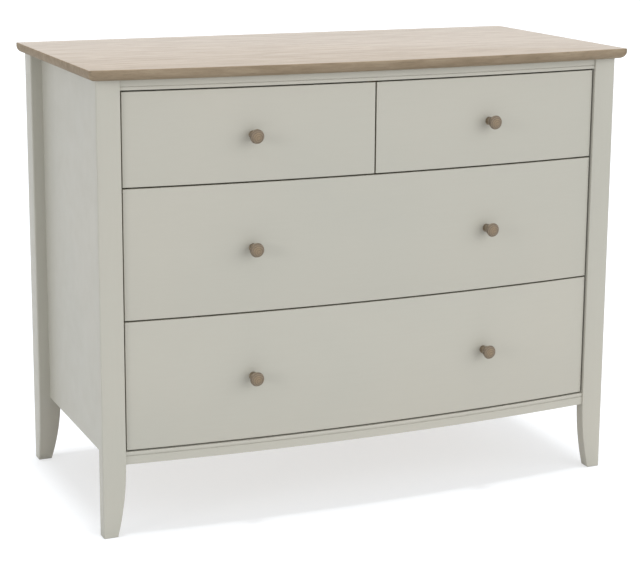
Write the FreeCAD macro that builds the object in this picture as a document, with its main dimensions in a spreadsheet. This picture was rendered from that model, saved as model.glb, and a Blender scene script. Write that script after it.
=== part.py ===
"""A bow-front chest of drawers: two drawers side by side over two wide ones, on four tapered legs.

X runs along the chest, Y to the back and Z up. The origin is on the floor, under the middle of the chest.
Outlines are drawn from the front plane of the legs, and each piece's Placement moves that plane to its place.
"""

import FreeCAD, Part
import math
import os
import re
import Sketcher

# Driving sizes in millimetres. Names that end in share, slope or count are plain numbers.
SIZES = {
    # case
    "case_width": 980.0,
    "case_depth": 462.0,
    "base_height": 127.0,
    "bottom_rail_height": 21.7,
    "top_rail_height": 18.2,
    "deep_front_height": 223.0,
    "top_front_height": 158.2,
    "front_gap": 2.6,
    "bow_rise": 24.7,
    # top board
    "top_thickness": 18.5,
    "top_side_overhang": 15.0,
    "top_front_overhang": 15.0,
    "top_bow_rise": 29.3,
    "top_round": 12.5,
    "top_arris": 1.2,
    # legs
    "leg_width": 41.0,
    "front_leg_depth": 21.0,
    "rear_leg_depth": 41.0,
    "foot_width": 25.0,
    "foot_chamfer": 1.2,
    "leg_arris": 2.5,
    # side panels and back
    "panel_recess": 21.0,
    "panel_thickness": 16.0,
    "tongue_thickness": 8.0,
    "tongue_depth": 8.0,
    "tongue_relief": 0.5,
    "back_thickness": 5.0,
    "rebate_depth": 6.0,
    "rebate_width": 10.0,
    "back_relief": 0.5,
    # front rails and their beads
    "rail_setback": 3.0,
    "tenon_length": 12.0,
    "tenon_setback": 4.5,
    "tenon_thickness": 6.5,
    "tenon_shoulder": 4.0,
    "tenon_relief": 0.5,
    "bead_height": 6.0,
    "quirk_width": 1.3,
    "quirk_depth": 1.3,
    "bead_round": 1.1,
    # rear rails, drawer rails, partition and cleats
    "rear_rail_thickness": 20.0,
    "rear_rail_height": 40.0,
    "drawer_rail_thickness": 18.0,
    "drawer_rail_depth": 60.0,
    "drawer_rail_clearance": 2.5,
    "housing_depth": 6.0,
    "partition_thickness": 20.0,
    "stub_depth": 4.0,
    "stub_shoulder": 8.0,
    "cleat_width": 20.0,
    # drawers
    "front_setback": 5.3,
    "front_thickness": 20.0,
    "socket_depth": 13.0,
    "side_thickness": 12.0,
    "side_lift": 14.0,
    "side_drop": 40.0,
    "land_margin": 4.0,
    "partition_gap": 2.5,
    "drawer_rear_gap": 10.0,
    "tail_share": 0.66,
    "tail_slope": 0.14,
    "deep_tail_count": 4,
    "top_tail_count": 3,
    "bottom_lift": 8.0,
    "bottom_thickness": 6.0,
    "bottom_groove": 6.0,
    "bottom_relief": 0.5,
    # runners
    "runner_height": 14.0,
    "runner_setback": 13.0,
    "runner_stop_gap": 1.0,
    "runner_clearance": 0.3,
    "runner_groove": 7.0,
    "runner_tip_gap": 0.5,
    "runner_rear_gap": 2.0,
    # knobs and their screws
    "knob_projection": 26.0,
    "knob_base_radius": 7.3,
    "knob_face_radius": 12.4,
    "knob_rim": 5.2,
    "knob_chamfer": 1.5,
    "knob_flare": 26.0,
    "screw_radius": 2.0,
    "screw_head_radius": 4.0,
    "screw_head_height": 2.4,
    "screw_bite": 15.0,
    "screw_hole_clearance": 0.25,
    "screw_end_gap": 1.0,
    # how far a cutting outline runs past the face that it cuts
    "over_run": 5.0,
}

# Places that follow from the sizes. Depths are measured from the front plane of the legs.
PLACES = {
    "case_half": "case_width / 2",
    "leg_inner": "case_half - leg_width",
    "panel_outer": "case_half - panel_recess",
    "panel_inner": "panel_outer - panel_thickness",
    "tongue_inner": "panel_inner + (panel_thickness - tongue_thickness) / 2",
    "tongue_outer": "tongue_inner + tongue_thickness",
    "rear_leg_front": "case_depth - rear_leg_depth",
    "rear_rail_back": "case_depth - rebate_depth",
    "rear_rail_front": "rear_rail_back - rear_rail_thickness",
    "front_plane": "(top_bow_rise + top_front_overhang - case_depth) / 2",
    # heights
    "bottom_rail_top": "base_height + bottom_rail_height",
    "bottom_row": "bottom_rail_top + front_gap",
    "middle_row": "bottom_row + deep_front_height + front_gap",
    "top_row": "middle_row + deep_front_height + front_gap",
    "top_rail_bottom": "top_row + top_front_height + front_gap",
    "case_top": "top_rail_bottom + top_rail_height",
    "lower_rail_bottom": "middle_row - (front_gap + drawer_rail_thickness) / 2",
    "upper_rail_bottom": "top_row - (front_gap + drawer_rail_thickness) / 2",
    "upper_rail_top": "upper_rail_bottom + drawer_rail_thickness",
    # curves in plan, as arcs about a point on the middle plane behind the chest
    "bow_radius": "(leg_inner ^ 2 + bow_rise ^ 2) / (2 * bow_rise)",
    "bow_centre": "front_setback - bow_rise + bow_radius",
    "top_half": "case_half + top_side_overhang",
    "top_bow_radius": "(top_half ^ 2 + top_bow_rise ^ 2) / (2 * top_bow_rise)",
    "foot_inset": "leg_width - foot_width",
    "foot_radius": "(base_height ^ 2 + foot_inset ^ 2) / (2 * foot_inset)",
    "rear_foot_inset": "rear_leg_depth - foot_width",
    "rear_foot_radius": "(base_height ^ 2 + rear_foot_inset ^ 2) / (2 * rear_foot_inset)",
    # drawer rails
    "drawer_rail_front": "front_setback + front_thickness + drawer_rail_clearance",
    "drawer_rail_back": "drawer_rail_front + drawer_rail_depth",
    "partition_front": "drawer_rail_front - bow_rise",
    # drawers
    "front_end": "leg_inner - front_gap",
    "partition_side": "partition_thickness / 2 + partition_gap",
    "land_width": "side_thickness + land_margin",
    "deep_side_height": "deep_front_height - side_drop",
    "top_side_height": "top_front_height - side_drop",
    "box_rear": "rear_rail_front - drawer_rear_gap",
    "back_bottom": "bottom_lift + bottom_thickness",
    "deep_screw_height": "deep_front_height / 2",
    "top_screw_height": "top_front_height / 2",
    "top_knob_place": "(front_end + front_gap / 2) / 2",
    # runners
    "runner_front": "front_setback + front_thickness + runner_setback",
    "runner_rear": "rear_rail_front - runner_rear_gap",
    "runner_reach": "runner_groove - runner_tip_gap",
}

NAME = re.compile(r"[a-z]+(?:_[a-z]+)+")
# each view's origin plane, and the sign of that plane's normal along the world's axis
VIEWS = {"plan": ("XY_Plane", 1), "front": ("XZ_Plane", -1), "side": ("YZ_Plane", 1)}

# how near counts as touching, where an edge is looked for
TOUCH = 0.01

doc = FreeCAD.newDocument("chest")
sheet = doc.addObject("Spreadsheet::Sheet", "sizes")


def fill_sheet():
    """Writes the driving sizes to the sheet as plain numbers with aliases."""
    for row, (name, size) in enumerate(SIZES.items(), start=1):
        sheet.set(f"A{row}", name)
        sheet.set(f"B{row}", str(size))
        sheet.setAlias(f"B{row}", name)
    doc.recompute()


def formula(text):
    """The text as an expression: a place is written out, and a size becomes its cell."""

    def written_out(match):
        name = match.group()
        return f"({formula(PLACES[name])})" if name in PLACES else f"sizes.{name}"

    return NAME.sub(written_out, text)


def number(text):
    """What an expression's text comes to, as a plain number."""
    result = sheet.evalExpression(formula(text))
    return float(getattr(result, "Value", result))


def bow(across, behind="0"):
    """How deep the drawer fronts' curve lies at a place across the chest, or a curve behind it."""
    return f"(bow_centre - sqrt((bow_radius - ({behind})) ^ 2 - ({across}) ^ 2))"


# Sketches and features


def arc_edge(start, end, radius, centre_left):
    """An arc that runs anticlockwise, and which of its ends is the start."""
    along = end - start
    to_centre = FreeCAD.Vector(-along.y, along.x, 0).normalize() * (1 if centre_left else -1)
    rise = radius - math.sqrt(radius**2 - (along.Length / 2) ** 2)
    middle = (start + end) / 2 - to_centre * rise
    if centre_left:
        return Part.Arc(start, middle, end), 1, 2
    return Part.Arc(end, middle, start), 2, 1


def add_loop(sketch, corners):
    """A closed outline. A corner is (x, y), or (x, y, radius, centre_left) where an arc leaves it."""
    points = [FreeCAD.Vector(number(c[0]), number(c[1]), 0) for c in corners]
    edges = []
    bound = []
    for corner, start, end in zip(corners, points, points[1:] + points[:1]):
        if len(corner) == 2:
            edge, first, last = Part.LineSegment(start, end), 1, 2
        else:
            edge, first, last = arc_edge(start, end, number(corner[2]), corner[3])
        edges.append((sketch.addGeometry(edge), first, last))
        if len(corner) == 4:
            radius = Sketcher.Constraint("Radius", edges[-1][0], number(corner[2]))
            bound.append((radius, corner[2]))
    for (edge, _, last), (after, first, _) in zip(edges, edges[1:] + edges[:1]):
        sketch.addConstraint(Sketcher.Constraint("Coincident", edge, last, after, first))
    for corner, point, (edge, first, _) in zip(corners, points, edges):
        for axis, text, size in (("X", corner[0], point.x), ("Y", corner[1], point.y)):
            place = Sketcher.Constraint(f"Distance{axis}", -1, 1, edge, first, size)
            bound.append((place, text))
    bind(sketch, bound)


def add_circle(sketch, x, y, radius):
    """A circle about (x, y)."""
    centre = FreeCAD.Vector(number(x), number(y), 0)
    edge = sketch.addGeometry(Part.Circle(centre, FreeCAD.Vector(0, 0, 1), number(radius)))
    bound = [
        (Sketcher.Constraint("DistanceX", -1, 1, edge, 3, centre.x), x),
        (Sketcher.Constraint("DistanceY", -1, 1, edge, 3, centre.y), y),
        (Sketcher.Constraint("Radius", edge, number(radius)), radius),
    ]
    bind(sketch, bound)


def bind(sketch, bound):
    """Adds constraints and ties each to its expression."""
    first = sketch.ConstraintCount
    sketch.addConstraint([constraint for constraint, _ in bound])
    for index, (_, text) in enumerate(bound, start=first):
        sketch.setExpression(f"Constraints[{index}]", formula(text))


def new_sketch(body, view, at="0"):
    """An empty sketch on one of the body's origin planes, moved along that plane's axis."""
    role, normal = VIEWS[view]
    sketch = body.newObject("Sketcher::SketchObject", "Outline")
    plane = next(p for p in body.Origin.OriginFeatures if p.Role == role)
    sketch.AttachmentSupport = [(plane, "")]
    sketch.MapMode = "FlatFace"
    sketch.setExpression(".AttachmentOffset.Base.z", formula(f"{normal} * ({at})"))
    return sketch


def draw(body, view, loops, at="0"):
    """A sketch of closed outlines."""
    sketch = new_sketch(body, view, at)
    for corners in loops:
        add_loop(sketch, corners)
    return sketch


def new_body(label, height="0", across="0"):
    """A body whose outlines are measured from the legs' front plane, placed in the chest."""
    body = doc.addObject("PartDesign::Body", label)
    body.Label = label
    body.setExpression(".Placement.Base.x", formula(across))
    body.setExpression(".Placement.Base.y", formula("front_plane"))
    body.setExpression(".Placement.Base.z", formula(height))
    return body


def pad(body, view, loops, length, at="0", run=1):
    """Adds the outlines' prism, which runs from the plane at `at` along the axis, or back if run is -1."""
    feature = body.newObject("PartDesign::Pad", "Pad")
    feature.Profile = draw(body, view, loops, at)
    feature.setExpression("Length", formula(length))
    feature.Reversed = run != VIEWS[view][1]
    return feature


def cut(body, view, loops, length, at="0", run=1):
    """Takes the outlines' prism away."""
    return cut_sketch(body, draw(body, view, loops, at), length, run == VIEWS[view][1])


def cut_sketch(body, sketch, length, along_normal=False):
    """Takes a sketch's prism away, against the sketch's normal or along it, and makes sure it cuts."""
    doc.recompute()
    before = body.Shape.Volume
    feature = body.newObject("PartDesign::Pocket", "Pocket")
    feature.Profile = sketch
    feature.setExpression("Length", formula(length))
    feature.Reversed = along_normal
    doc.recompute()
    if not body.Shape.Volume < before:
        raise RuntimeError(f"{body.Label}: a pocket cut nothing")
    return feature


def edges_where(body, wanted):
    """Names of the body's edges whose box, in the body's own outline measures, passes a test."""
    doc.recompute()
    shape = body.Tip.Shape
    return [f"Edge{i}" for i, e in enumerate(shape.Edges, start=1) if wanted(e.BoundBox)]


def dress(body, kind, names, size):
    """Rounds or chamfers the named edges."""
    before = body.Tip
    feature = body.newObject(f"PartDesign::{kind}", kind)
    feature.Base = (before, names)
    feature.setExpression("Radius" if kind == "Fillet" else "Size", formula(size))


def flat_at(box, axis, place):
    """Whether an edge lies in the plane at a place along an axis."""
    low, high = getattr(box, f"{axis}Min"), getattr(box, f"{axis}Max")
    return abs(low - place) < TOUCH and abs(high - place) < TOUCH


def rectangle(x0, y0, x1, y1):
    """The four corners of a rectangle."""
    return [(x0, y0), (x1, y0), (x1, y1), (x0, y1)]


# The case


def top_panel():
    """The board: a bowed front edge, a quarter-round under the edges that show, and softened arrises."""
    body = new_body("top_panel", "case_top")
    outline = [
        ("-top_half", "-top_front_overhang", "top_bow_radius", True),
        ("top_half", "-top_front_overhang"),
        ("top_half", "case_depth"),
        ("-top_half", "case_depth"),
    ]
    pad(body, "plan", [outline], "top_thickness")
    rear = number("case_depth")
    top = number("top_thickness")
    under = edges_where(body, lambda b: flat_at(b, "Z", 0) and not flat_at(b, "Y", rear))
    dress(body, "Fillet", under, "top_round")
    over = edges_where(body, lambda b: flat_at(b, "Z", top))
    dress(body, "Fillet", over, "top_arris")


def leg_outline(side):
    """A leg from the front: straight outside, and tapered inside below the case in one arc."""
    return [
        (f"{side} * (case_half)", "0"),
        (f"{side} * (case_half)", "case_top"),
        (f"{side} * (leg_inner)", "case_top"),
        (f"{side} * (leg_inner)", "base_height", "foot_radius", side > 0),
        (f"{side} * (case_half - foot_width)", "0"),
    ]


def panel_groove(body, side, start, end):
    """The groove in a leg for the side panel's tongue, open at the top and stopped at the base."""
    groove = rectangle(f"{side} * (tongue_inner)", start, f"{side} * (tongue_outer)", end)
    cut(body, "plan", [groove], "case_top - base_height", at="base_height")


def mortises(body, side, slots):
    """Mortises in a leg's inner face. A slot is (y0, z0, y1, z1)."""
    loops = [rectangle(*slot) for slot in slots]
    cut(body, "side", loops, "tenon_length + tenon_relief", at=f"{side} * (leg_inner)", run=side)


def chamfer_foot(body):
    """A small chamfer round the sole, so that the foot doesn't splinter when it is dragged."""
    dress(body, "Chamfer", edges_where(body, lambda b: flat_at(b, "Z", 0)), "foot_chamfer")


def front_leg(label, side):
    """A front leg: a full-height board, grooved behind for the panel and mortised for both rails."""
    body = new_body(label)
    pad(body, "front", [leg_outline(side)], "front_leg_depth")
    chamfer_foot(body)
    front = edges_where(body, lambda b: flat_at(b, "Y", 0) and b.ZLength > b.XLength)
    dress(body, "Fillet", front, "leg_arris")
    panel_groove(body, side, "front_leg_depth - tongue_depth - tongue_relief", "front_leg_depth + over_run")
    tenon_back = "tenon_setback + tenon_thickness"
    slots = [
        ("tenon_setback", f"{rail} + tenon_shoulder", tenon_back, f"{rail} + {height} - tenon_shoulder")
        for rail, height in (("base_height", "bottom_rail_height"), ("top_rail_bottom", "top_rail_height"))
    ]
    mortises(body, side, slots)


REAR_RAILS = {
    "rear_top_rail": ("case_top - rear_rail_height", "rear_rail_height"),
    "rear_middle_rail": ("upper_rail_bottom", "drawer_rail_thickness"),
    "rear_bottom_rail": ("base_height", "rear_rail_height"),
}


def rear_leg(label, side):
    """A rear leg: square above, tapered below on its inner and front faces, rebated for the back."""
    body = new_body(label)
    pad(body, "front", [leg_outline(side)], "rear_leg_depth", at="rear_leg_front")
    taper = [
        ("rear_leg_front", "base_height", "rear_foot_radius", True),
        ("case_depth - foot_width", "0"),
        ("rear_leg_front - over_run", "0"),
        ("rear_leg_front - over_run", "base_height"),
    ]
    width = "leg_width + 2 * over_run"
    cut(body, "side", [taper], width, at=f"{side} * (leg_inner - over_run)", run=side)
    chamfer_foot(body)
    panel_groove(body, side, "rear_leg_front - over_run", "rear_leg_front + tongue_depth + tongue_relief")
    rebate = rectangle(
        f"{side} * (leg_inner - over_run)", "case_depth - rebate_depth",
        f"{side} * (leg_inner + rebate_width)", "case_depth + over_run",
    )
    cut(body, "plan", [rebate], "case_top - base_height", at="base_height")
    tenon_front = "rear_rail_front + tenon_setback"
    tenon_back = "rear_rail_front + tenon_setback + tenon_thickness"
    slots = [
        (tenon_front, f"{low} + tenon_shoulder", tenon_back, f"{low} + {height} - tenon_shoulder")
        for low, height in REAR_RAILS.values()
    ]
    mortises(body, side, slots)


def side_panel(label, side):
    """A side panel with a tongue on both upright edges and housings for the two drawer rails."""
    body = new_body(label, "base_height")
    inner, outer = f"{side} * (panel_inner)", f"{side} * (panel_outer)"
    board = rectangle(inner, "front_leg_depth", outer, "rear_leg_front")
    pad(body, "plan", [board], "case_top - base_height")
    tongue = rectangle(
        f"{side} * (tongue_inner)", "front_leg_depth - tongue_depth",
        f"{side} * (tongue_outer)", "rear_leg_front + tongue_depth",
    )
    pad(body, "plan", [tongue], "case_top - base_height")
    housings = [
        rectangle(
            "drawer_rail_front", f"{rail} - base_height",
            "drawer_rail_back", f"{rail} - base_height + drawer_rail_thickness",
        )
        for rail in ("lower_rail_bottom", "upper_rail_bottom")
    ]
    cut(body, "side", housings, "housing_depth", at=inner, run=side)


def back_panel():
    """The thin back, held in the rear legs' rebates and against the rear rails."""
    body = new_body("back_panel", "base_height")
    half = "(leg_inner + rebate_width - back_relief)"
    board = rectangle(f"-{half}", "rear_rail_back", half, "rear_rail_back + back_thickness")
    pad(body, "plan", [board], "case_top - base_height")


def front_rail(label, height, thickness, bead_low):
    """A bowed front rail with tenons and, along the edge next to the drawers, a bead behind a quirk."""
    body = new_body(label, height)
    outline = [
        ("-leg_inner", "rail_setback", "bow_radius", True),
        ("leg_inner", "rail_setback"),
        ("leg_inner", "front_leg_depth"),
        ("-leg_inner", "front_leg_depth"),
    ]
    pad(body, "plan", [outline], thickness)
    tenons = rectangle(
        "-(leg_inner + tenon_length)", "tenon_setback",
        "leg_inner + tenon_length", "tenon_setback + tenon_thickness",
    )
    pad(body, "plan", [tenons], f"{thickness} - 2 * tenon_shoulder", at="tenon_shoulder")
    quirk = [
        ("-leg_inner", "rail_setback + quirk_depth", "bow_radius", True),
        ("leg_inner", "rail_setback + quirk_depth"),
        ("leg_inner", "rail_setback - bow_rise - over_run"),
        ("-leg_inner", "rail_setback - bow_rise - over_run"),
    ]
    inner, outer = (
        ("bead_height", "0") if bead_low else (f"{thickness} - bead_height", thickness)
    )
    quirk_low = inner if bead_low else f"{inner} - quirk_width"
    cut(body, "plan", [quirk], "quirk_width", at=quirk_low)
    levels = (number(inner), number(outer))
    face_end = number("rail_setback")
    long_run = number("leg_inner")

    def on_bead(box):
        level = any(flat_at(box, "Z", z) for z in levels)
        return level and box.XLength > long_run and abs(box.YMax - face_end) < TOUCH

    dress(body, "Fillet", edges_where(body, on_bead), "bead_round")


def rear_rail(label):
    """A straight rail tenoned between the rear legs. The middle one also carries the partition."""
    low, height = REAR_RAILS[label]
    body = new_body(label, low)
    pad(body, "plan", [rectangle("-leg_inner", "rear_rail_front", "leg_inner", "rear_rail_back")], height)
    tenons = rectangle(
        "-(leg_inner + tenon_length)", "rear_rail_front + tenon_setback",
        "leg_inner + tenon_length", "rear_rail_front + tenon_setback + tenon_thickness",
    )
    pad(body, "plan", [tenons], f"{height} - 2 * tenon_shoulder", at="tenon_shoulder")
    return body


STUBS = {
    "front": ("partition_front + stub_shoulder", "drawer_rail_back - stub_shoulder"),
    "rear": ("rear_rail_front", "rear_rail_back - stub_shoulder"),
}


def stub_mortise(body, end):
    """The mortise for one of the partition's stub tenons, in the top of the rail that carries it."""
    start, stop = STUBS[end]
    slot = rectangle("-partition_thickness / 2", start, "partition_thickness / 2", stop)
    cut(body, "plan", [slot], "stub_depth", at="drawer_rail_thickness", run=-1)


def drawer_rail(label, height):
    """A rail behind the gap between two rows of fronts, bowed like them and housed in the side panels."""
    body = new_body(label, height)
    end = "(panel_inner + housing_depth)"
    outline = [
        ("-leg_inner", "drawer_rail_front", "bow_radius", True),
        ("leg_inner", "drawer_rail_front"),
        (end, "drawer_rail_front"),
        (end, "drawer_rail_back"),
        (f"-{end}", "drawer_rail_back"),
        (f"-{end}", "drawer_rail_front"),
    ]
    pad(body, "plan", [outline], "drawer_rail_thickness")
    return body


def partition():
    """The upright between the top drawers, stub-tenoned into the rails and notched over the top rail."""
    body = new_body("drawer_partition")
    rail_top = "upper_rail_top"
    stub_bottom = "upper_rail_top - stub_depth"
    front_start, front_stop = STUBS["front"]
    rear_start, rear_stop = STUBS["rear"]
    outline = [
        ("partition_front", rail_top),
        (front_start, rail_top),
        (front_start, stub_bottom),
        (front_stop, stub_bottom),
        (front_stop, rail_top),
        (rear_start, rail_top),
        (rear_start, stub_bottom),
        (rear_stop, stub_bottom),
        (rear_stop, "case_top - rear_rail_height"),
        (rear_start, "case_top - rear_rail_height"),
        (rear_start, "case_top"),
        ("front_leg_depth", "case_top"),
        ("front_leg_depth", "top_rail_bottom"),
        ("partition_front", "top_rail_bottom"),
    ]
    pad(body, "side", [outline], "partition_thickness", at="-partition_thickness / 2")


def cleat(label, side):
    """The strip in the corner between a side panel and the top board that holds the top down."""
    body = new_body(label, "top_rail_bottom")
    strip = rectangle(
        f"{side} * (panel_inner - cleat_width)", "front_leg_depth",
        f"{side} * (panel_inner)", "rear_leg_front",
    )
    pad(body, "plan", [strip], "top_rail_height")


def side_runner(label, side, row, side_height):
    """A runner on a side panel, stepped at the rear over the part of the leg that stands proud."""
    height = f"{row} + side_lift + ({side_height} - runner_height) / 2"
    body = new_body(label, height)
    tip = f"{side} * (front_end - runner_reach)"
    outline = [
        (f"{side} * (panel_inner)", "runner_front"),
        (tip, "runner_front"),
        (tip, "runner_rear"),
        (f"{side} * (leg_inner)", "runner_rear"),
        (f"{side} * (leg_inner)", "rear_leg_front"),
        (f"{side} * (panel_inner)", "rear_leg_front"),
    ]
    pad(body, "plan", [outline], "runner_height")


def centre_runner(label, side):
    """A runner on the partition for a top drawer's inner side."""
    height = "top_row + side_lift + (top_side_height - runner_height) / 2"
    body = new_body(label, height)
    strip = rectangle(
        f"{side} * (partition_thickness / 2)", "runner_front",
        f"{side} * (partition_side + runner_reach)", "runner_rear",
    )
    pad(body, "plan", [strip], "runner_height")


# The drawers


class Drawer:
    """A drawer's places across the chest and its heights, as texts in the sizes' names."""

    def __init__(self, label, row, kind, front, box, knobs):
        self.label = label
        self.row = row
        self.front_left, self.front_right = front
        self.box_left, self.box_right = box
        self.knobs = knobs
        self.front_height = f"{kind}_front_height"
        self.side_height = f"{kind}_side_height"
        self.screw_height = f"{kind}_screw_height"
        self.tails = SIZES[f"{kind}_tail_count"]
        self.base = f"({row} + side_lift)"

    def ends(self):
        """The left end and the right one: the front's end, the box's side, and the sign of its outside."""
        return ((self.front_left, self.box_left, -1), (self.front_right, self.box_right, 1))

    def steps(self, box, outward):
        """Whether the flat on the front's back ends in a step, which it does at the chest's outer sides."""
        return abs(number(box)) > abs(number(f"{box} - ({outward}) * land_width"))

    def land(self, box, outward):
        """How deep the flat lies on the front's back where a side meets it."""
        farther = box if self.steps(box, outward) else f"{box} - ({outward}) * land_width"
        return bow(farther, "front_thickness")


def tails(start, depth, low, high, count):
    """Tails from a shoulder at `start` that widen over `depth`, spread from low to high."""
    loops = []
    for index in range(count):
        pitch = f"(({high}) - ({low})) / {count}"
        middle = f"{low} + ({index} + 1 / 2) * {pitch}"
        wide = f"tail_share * {pitch} / 2"
        narrow = f"({wide} - tail_slope * {depth})"
        loops.append(
            [
                (start, f"{middle} - {narrow}"),
                (f"{start} + {depth}", f"{middle} - {wide}"),
                (f"{start} + {depth}", f"{middle} + {wide}"),
                (start, f"{middle} + {narrow}"),
            ]
        )
    return loops


def front_tails(drawer, land):
    """The tails at a side's front end, which point forward into the drawer front."""
    loops = tails("0", "socket_depth", "0", drawer.side_height, drawer.tails)
    return [[(f"{land} - ({y})", z) for y, z in loop] for loop in loops]


def rear_tails(drawer):
    """The tails at a side's rear end, which pass right through the drawer's back."""
    start = "box_rear - side_thickness"
    return tails(start, "side_thickness", "back_bottom", drawer.side_height, drawer.tails)


def drawer_front(drawer):
    """A bowed front of even thickness: flat lands, half-blind sockets, and a lip past the inner side."""
    body = new_body(f"{drawer.label}_front", drawer.row)
    left, right = drawer.front_left, drawer.front_right
    left_end, right_end = (back_corners(drawer, *end) for end in drawer.ends())
    right_end[-1] = (*right_end[-1], "bow_radius - front_thickness", False)
    face = [(left, bow(left), "bow_radius", True), (right, bow(right))]
    pad(body, "plan", [face + right_end + left_end[::-1]], drawer.front_height)
    for _, box, outward in drawer.ends():
        land = drawer.land(box, outward)
        loops = [
            [(y, f"{z} + side_lift") for y, z in loop] for loop in front_tails(drawer, land)
        ]
        cut(body, "side", loops, "side_thickness", at=box, run=-outward)
    bottom_channel(body, drawer)
    for knob in drawer.knobs:
        knob_hole(body, knob, drawer.screw_height)


def back_corners(drawer, end, box, outward):
    """The front's outline round one end, from its face to where the curved back starts."""
    land = drawer.land(box, outward)
    inward = f"{box} - ({outward}) * land_width"
    lip = [(end, f"{land} - socket_depth"), (box, f"{land} - socket_depth")] if end != box else []
    step = [(inward, land)] if drawer.steps(box, outward) else []
    return lip + [(box, land)] + step + [(inward, bow(inward, "front_thickness"))]


def bottom_channel(body, drawer):
    """The groove along the front's back for the bottom panel's front edge."""
    left = f"{drawer.box_left} + side_thickness"
    right = f"{drawer.box_right} - side_thickness"
    inset = "(front_thickness - bottom_groove)"
    rear = "front_setback + front_thickness + over_run"
    channel = [
        (left, bow(left, inset), f"bow_radius - {inset}", True),
        (right, bow(right, inset)),
        (right, rear),
        (left, rear),
    ]
    cut(body, "plan", [channel], "bottom_thickness", at="side_lift + bottom_lift")


def knob_hole(body, knob, height):
    """A clearance hole for a knob's screw, square to the bowed face."""
    sketch = new_sketch(body, "front")
    sketch.AttachmentOffset = FreeCAD.Placement(
        FreeCAD.Vector(), FreeCAD.Rotation(FreeCAD.Vector(0, 1, 0), 1)
    )
    across = f"{knob} + over_run * sin({lean(knob)})"
    ahead = f"over_run * cos({lean(knob)}) - {bow(knob)}"
    sketch.setExpression(".AttachmentOffset.Base.x", formula(across))
    sketch.setExpression(".AttachmentOffset.Base.y", formula(height))
    sketch.setExpression(".AttachmentOffset.Base.z", formula(ahead))
    sketch.setExpression(".AttachmentOffset.Rotation.Angle", formula(lean(knob)))
    add_circle(sketch, "0", "0", "screw_radius + screw_hole_clearance")
    cut_sketch(body, sketch, "front_thickness + 2 * over_run")


def lean(knob):
    """The turn about Z that sets a knob square to the bowed face."""
    return f"asin(({knob}) / bow_radius)"


def drawer_side(drawer, box, outward, name):
    """A side board: tails at both ends, a groove outside for the runner and one inside for the bottom."""
    body = new_body(f"{drawer.label}_{name}", drawer.base)
    land = drawer.land(box, outward)
    outline = [(land, "0")]
    for loop in front_tails(drawer, land):
        outline += loop
    outline += [(land, drawer.side_height), ("box_rear - side_thickness", drawer.side_height)]
    for loop in reversed(rear_tails(drawer)):
        outline += reversed(loop)
    outline += [
        ("box_rear - side_thickness", "back_bottom"),
        ("box_rear", "back_bottom"),
        ("box_rear", "0"),
    ]
    pad(body, "side", [outline], "side_thickness", at=box, run=-outward)
    runner_channel(body, drawer, box, outward)
    inner = f"{box} - ({outward}) * side_thickness"
    channel = rectangle(land, "bottom_lift", "box_rear + over_run", "bottom_lift + bottom_thickness")
    cut(body, "side", [channel], "bottom_groove", at=inner, run=outward)


def runner_channel(body, drawer, box, outward):
    """The groove that rides on a runner, stopped short of the drawer front and open behind."""
    middle = f"{drawer.side_height} / 2"
    half = "(runner_height / 2 + runner_clearance)"
    groove = rectangle(
        "runner_front - runner_stop_gap", f"{middle} - {half}",
        "box_rear + over_run", f"{middle} + {half}",
    )
    cut(body, "side", [groove], "runner_groove", at=box, run=-outward)


def drawer_back(drawer):
    """The back board, which stands on the bottom panel, with a pin between each two tails."""
    body = new_body(f"{drawer.label}_back", drawer.base)
    board = rectangle(drawer.box_left, "box_rear - side_thickness", drawer.box_right, "box_rear")
    pad(body, "plan", [board], f"{drawer.side_height} - back_bottom", at="back_bottom")
    for _, box, outward in drawer.ends():
        cut(body, "side", rear_tails(drawer), "side_thickness", at=box, run=-outward)
        runner_channel(body, drawer, box, outward)


def drawer_bottom(drawer):
    """The bottom panel: its front edge follows the bow into the front's groove."""
    body = new_body(f"{drawer.label}_bottom", f"{drawer.base} + bottom_lift")
    inset = "(front_thickness - bottom_groove + bottom_relief)"
    left, right = (f"({box} - ({outward}) * side_thickness)" for _, box, outward in drawer.ends())
    lands = [f"{drawer.land(box, outward)} + bottom_relief" for _, box, outward in drawer.ends()]
    reach = "(bottom_groove - bottom_relief)"
    outline = [
        (left, bow(left, inset), f"bow_radius - {inset}", True),
        (right, bow(right, inset)),
        (right, lands[1]),
        (f"{right} + {reach}", lands[1]),
        (f"{right} + {reach}", "box_rear"),
        (f"{left} - {reach}", "box_rear"),
        (f"{left} - {reach}", lands[0]),
        (left, lands[0]),
    ]
    pad(body, "plan", [outline], "bottom_thickness")


def square_to_bow(item, drawer, knob):
    """Places a turned piece whose own origin is on the bowed face, square to that face."""
    item.Placement = FreeCAD.Placement(
        FreeCAD.Vector(), FreeCAD.Rotation(FreeCAD.Vector(0, 0, 1), 1)
    )
    item.setExpression(".Placement.Base.x", formula(knob))
    item.setExpression(".Placement.Base.y", formula(f"front_plane + {bow(knob)}"))
    item.setExpression(".Placement.Base.z", formula(f"{drawer.row} + {drawer.screw_height}"))
    item.setExpression(".Placement.Rotation.Angle", formula(lean(knob)))


def knob(drawer, place, label):
    """A turned knob, bored for its screw: a slim foot, a hollow flare to the rim, and a chamfered face."""
    body = doc.addObject("PartDesign::Body", label)
    body.Label = label
    rim_back = "-(knob_projection - knob_rim)"
    rim_front = "-(knob_projection - knob_chamfer)"
    hole = "(screw_radius + screw_hole_clearance)"
    depth = "-(screw_bite + screw_end_gap)"
    outline = [
        (hole, "0"),
        ("knob_base_radius", "0", "knob_flare", True),
        ("knob_face_radius", rim_back),
        ("knob_face_radius", rim_front),
        ("knob_face_radius - knob_chamfer", "-knob_projection"),
        ("0", "-knob_projection"),
        ("0", depth),
        (hole, depth),
    ]
    feature = body.newObject("PartDesign::Revolution", "Revolution")
    feature.Profile = draw(body, "plan", [outline])
    feature.ReferenceAxis = (feature.Profile[0], ["V_Axis"])
    square_to_bow(body, drawer, place)


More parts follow.
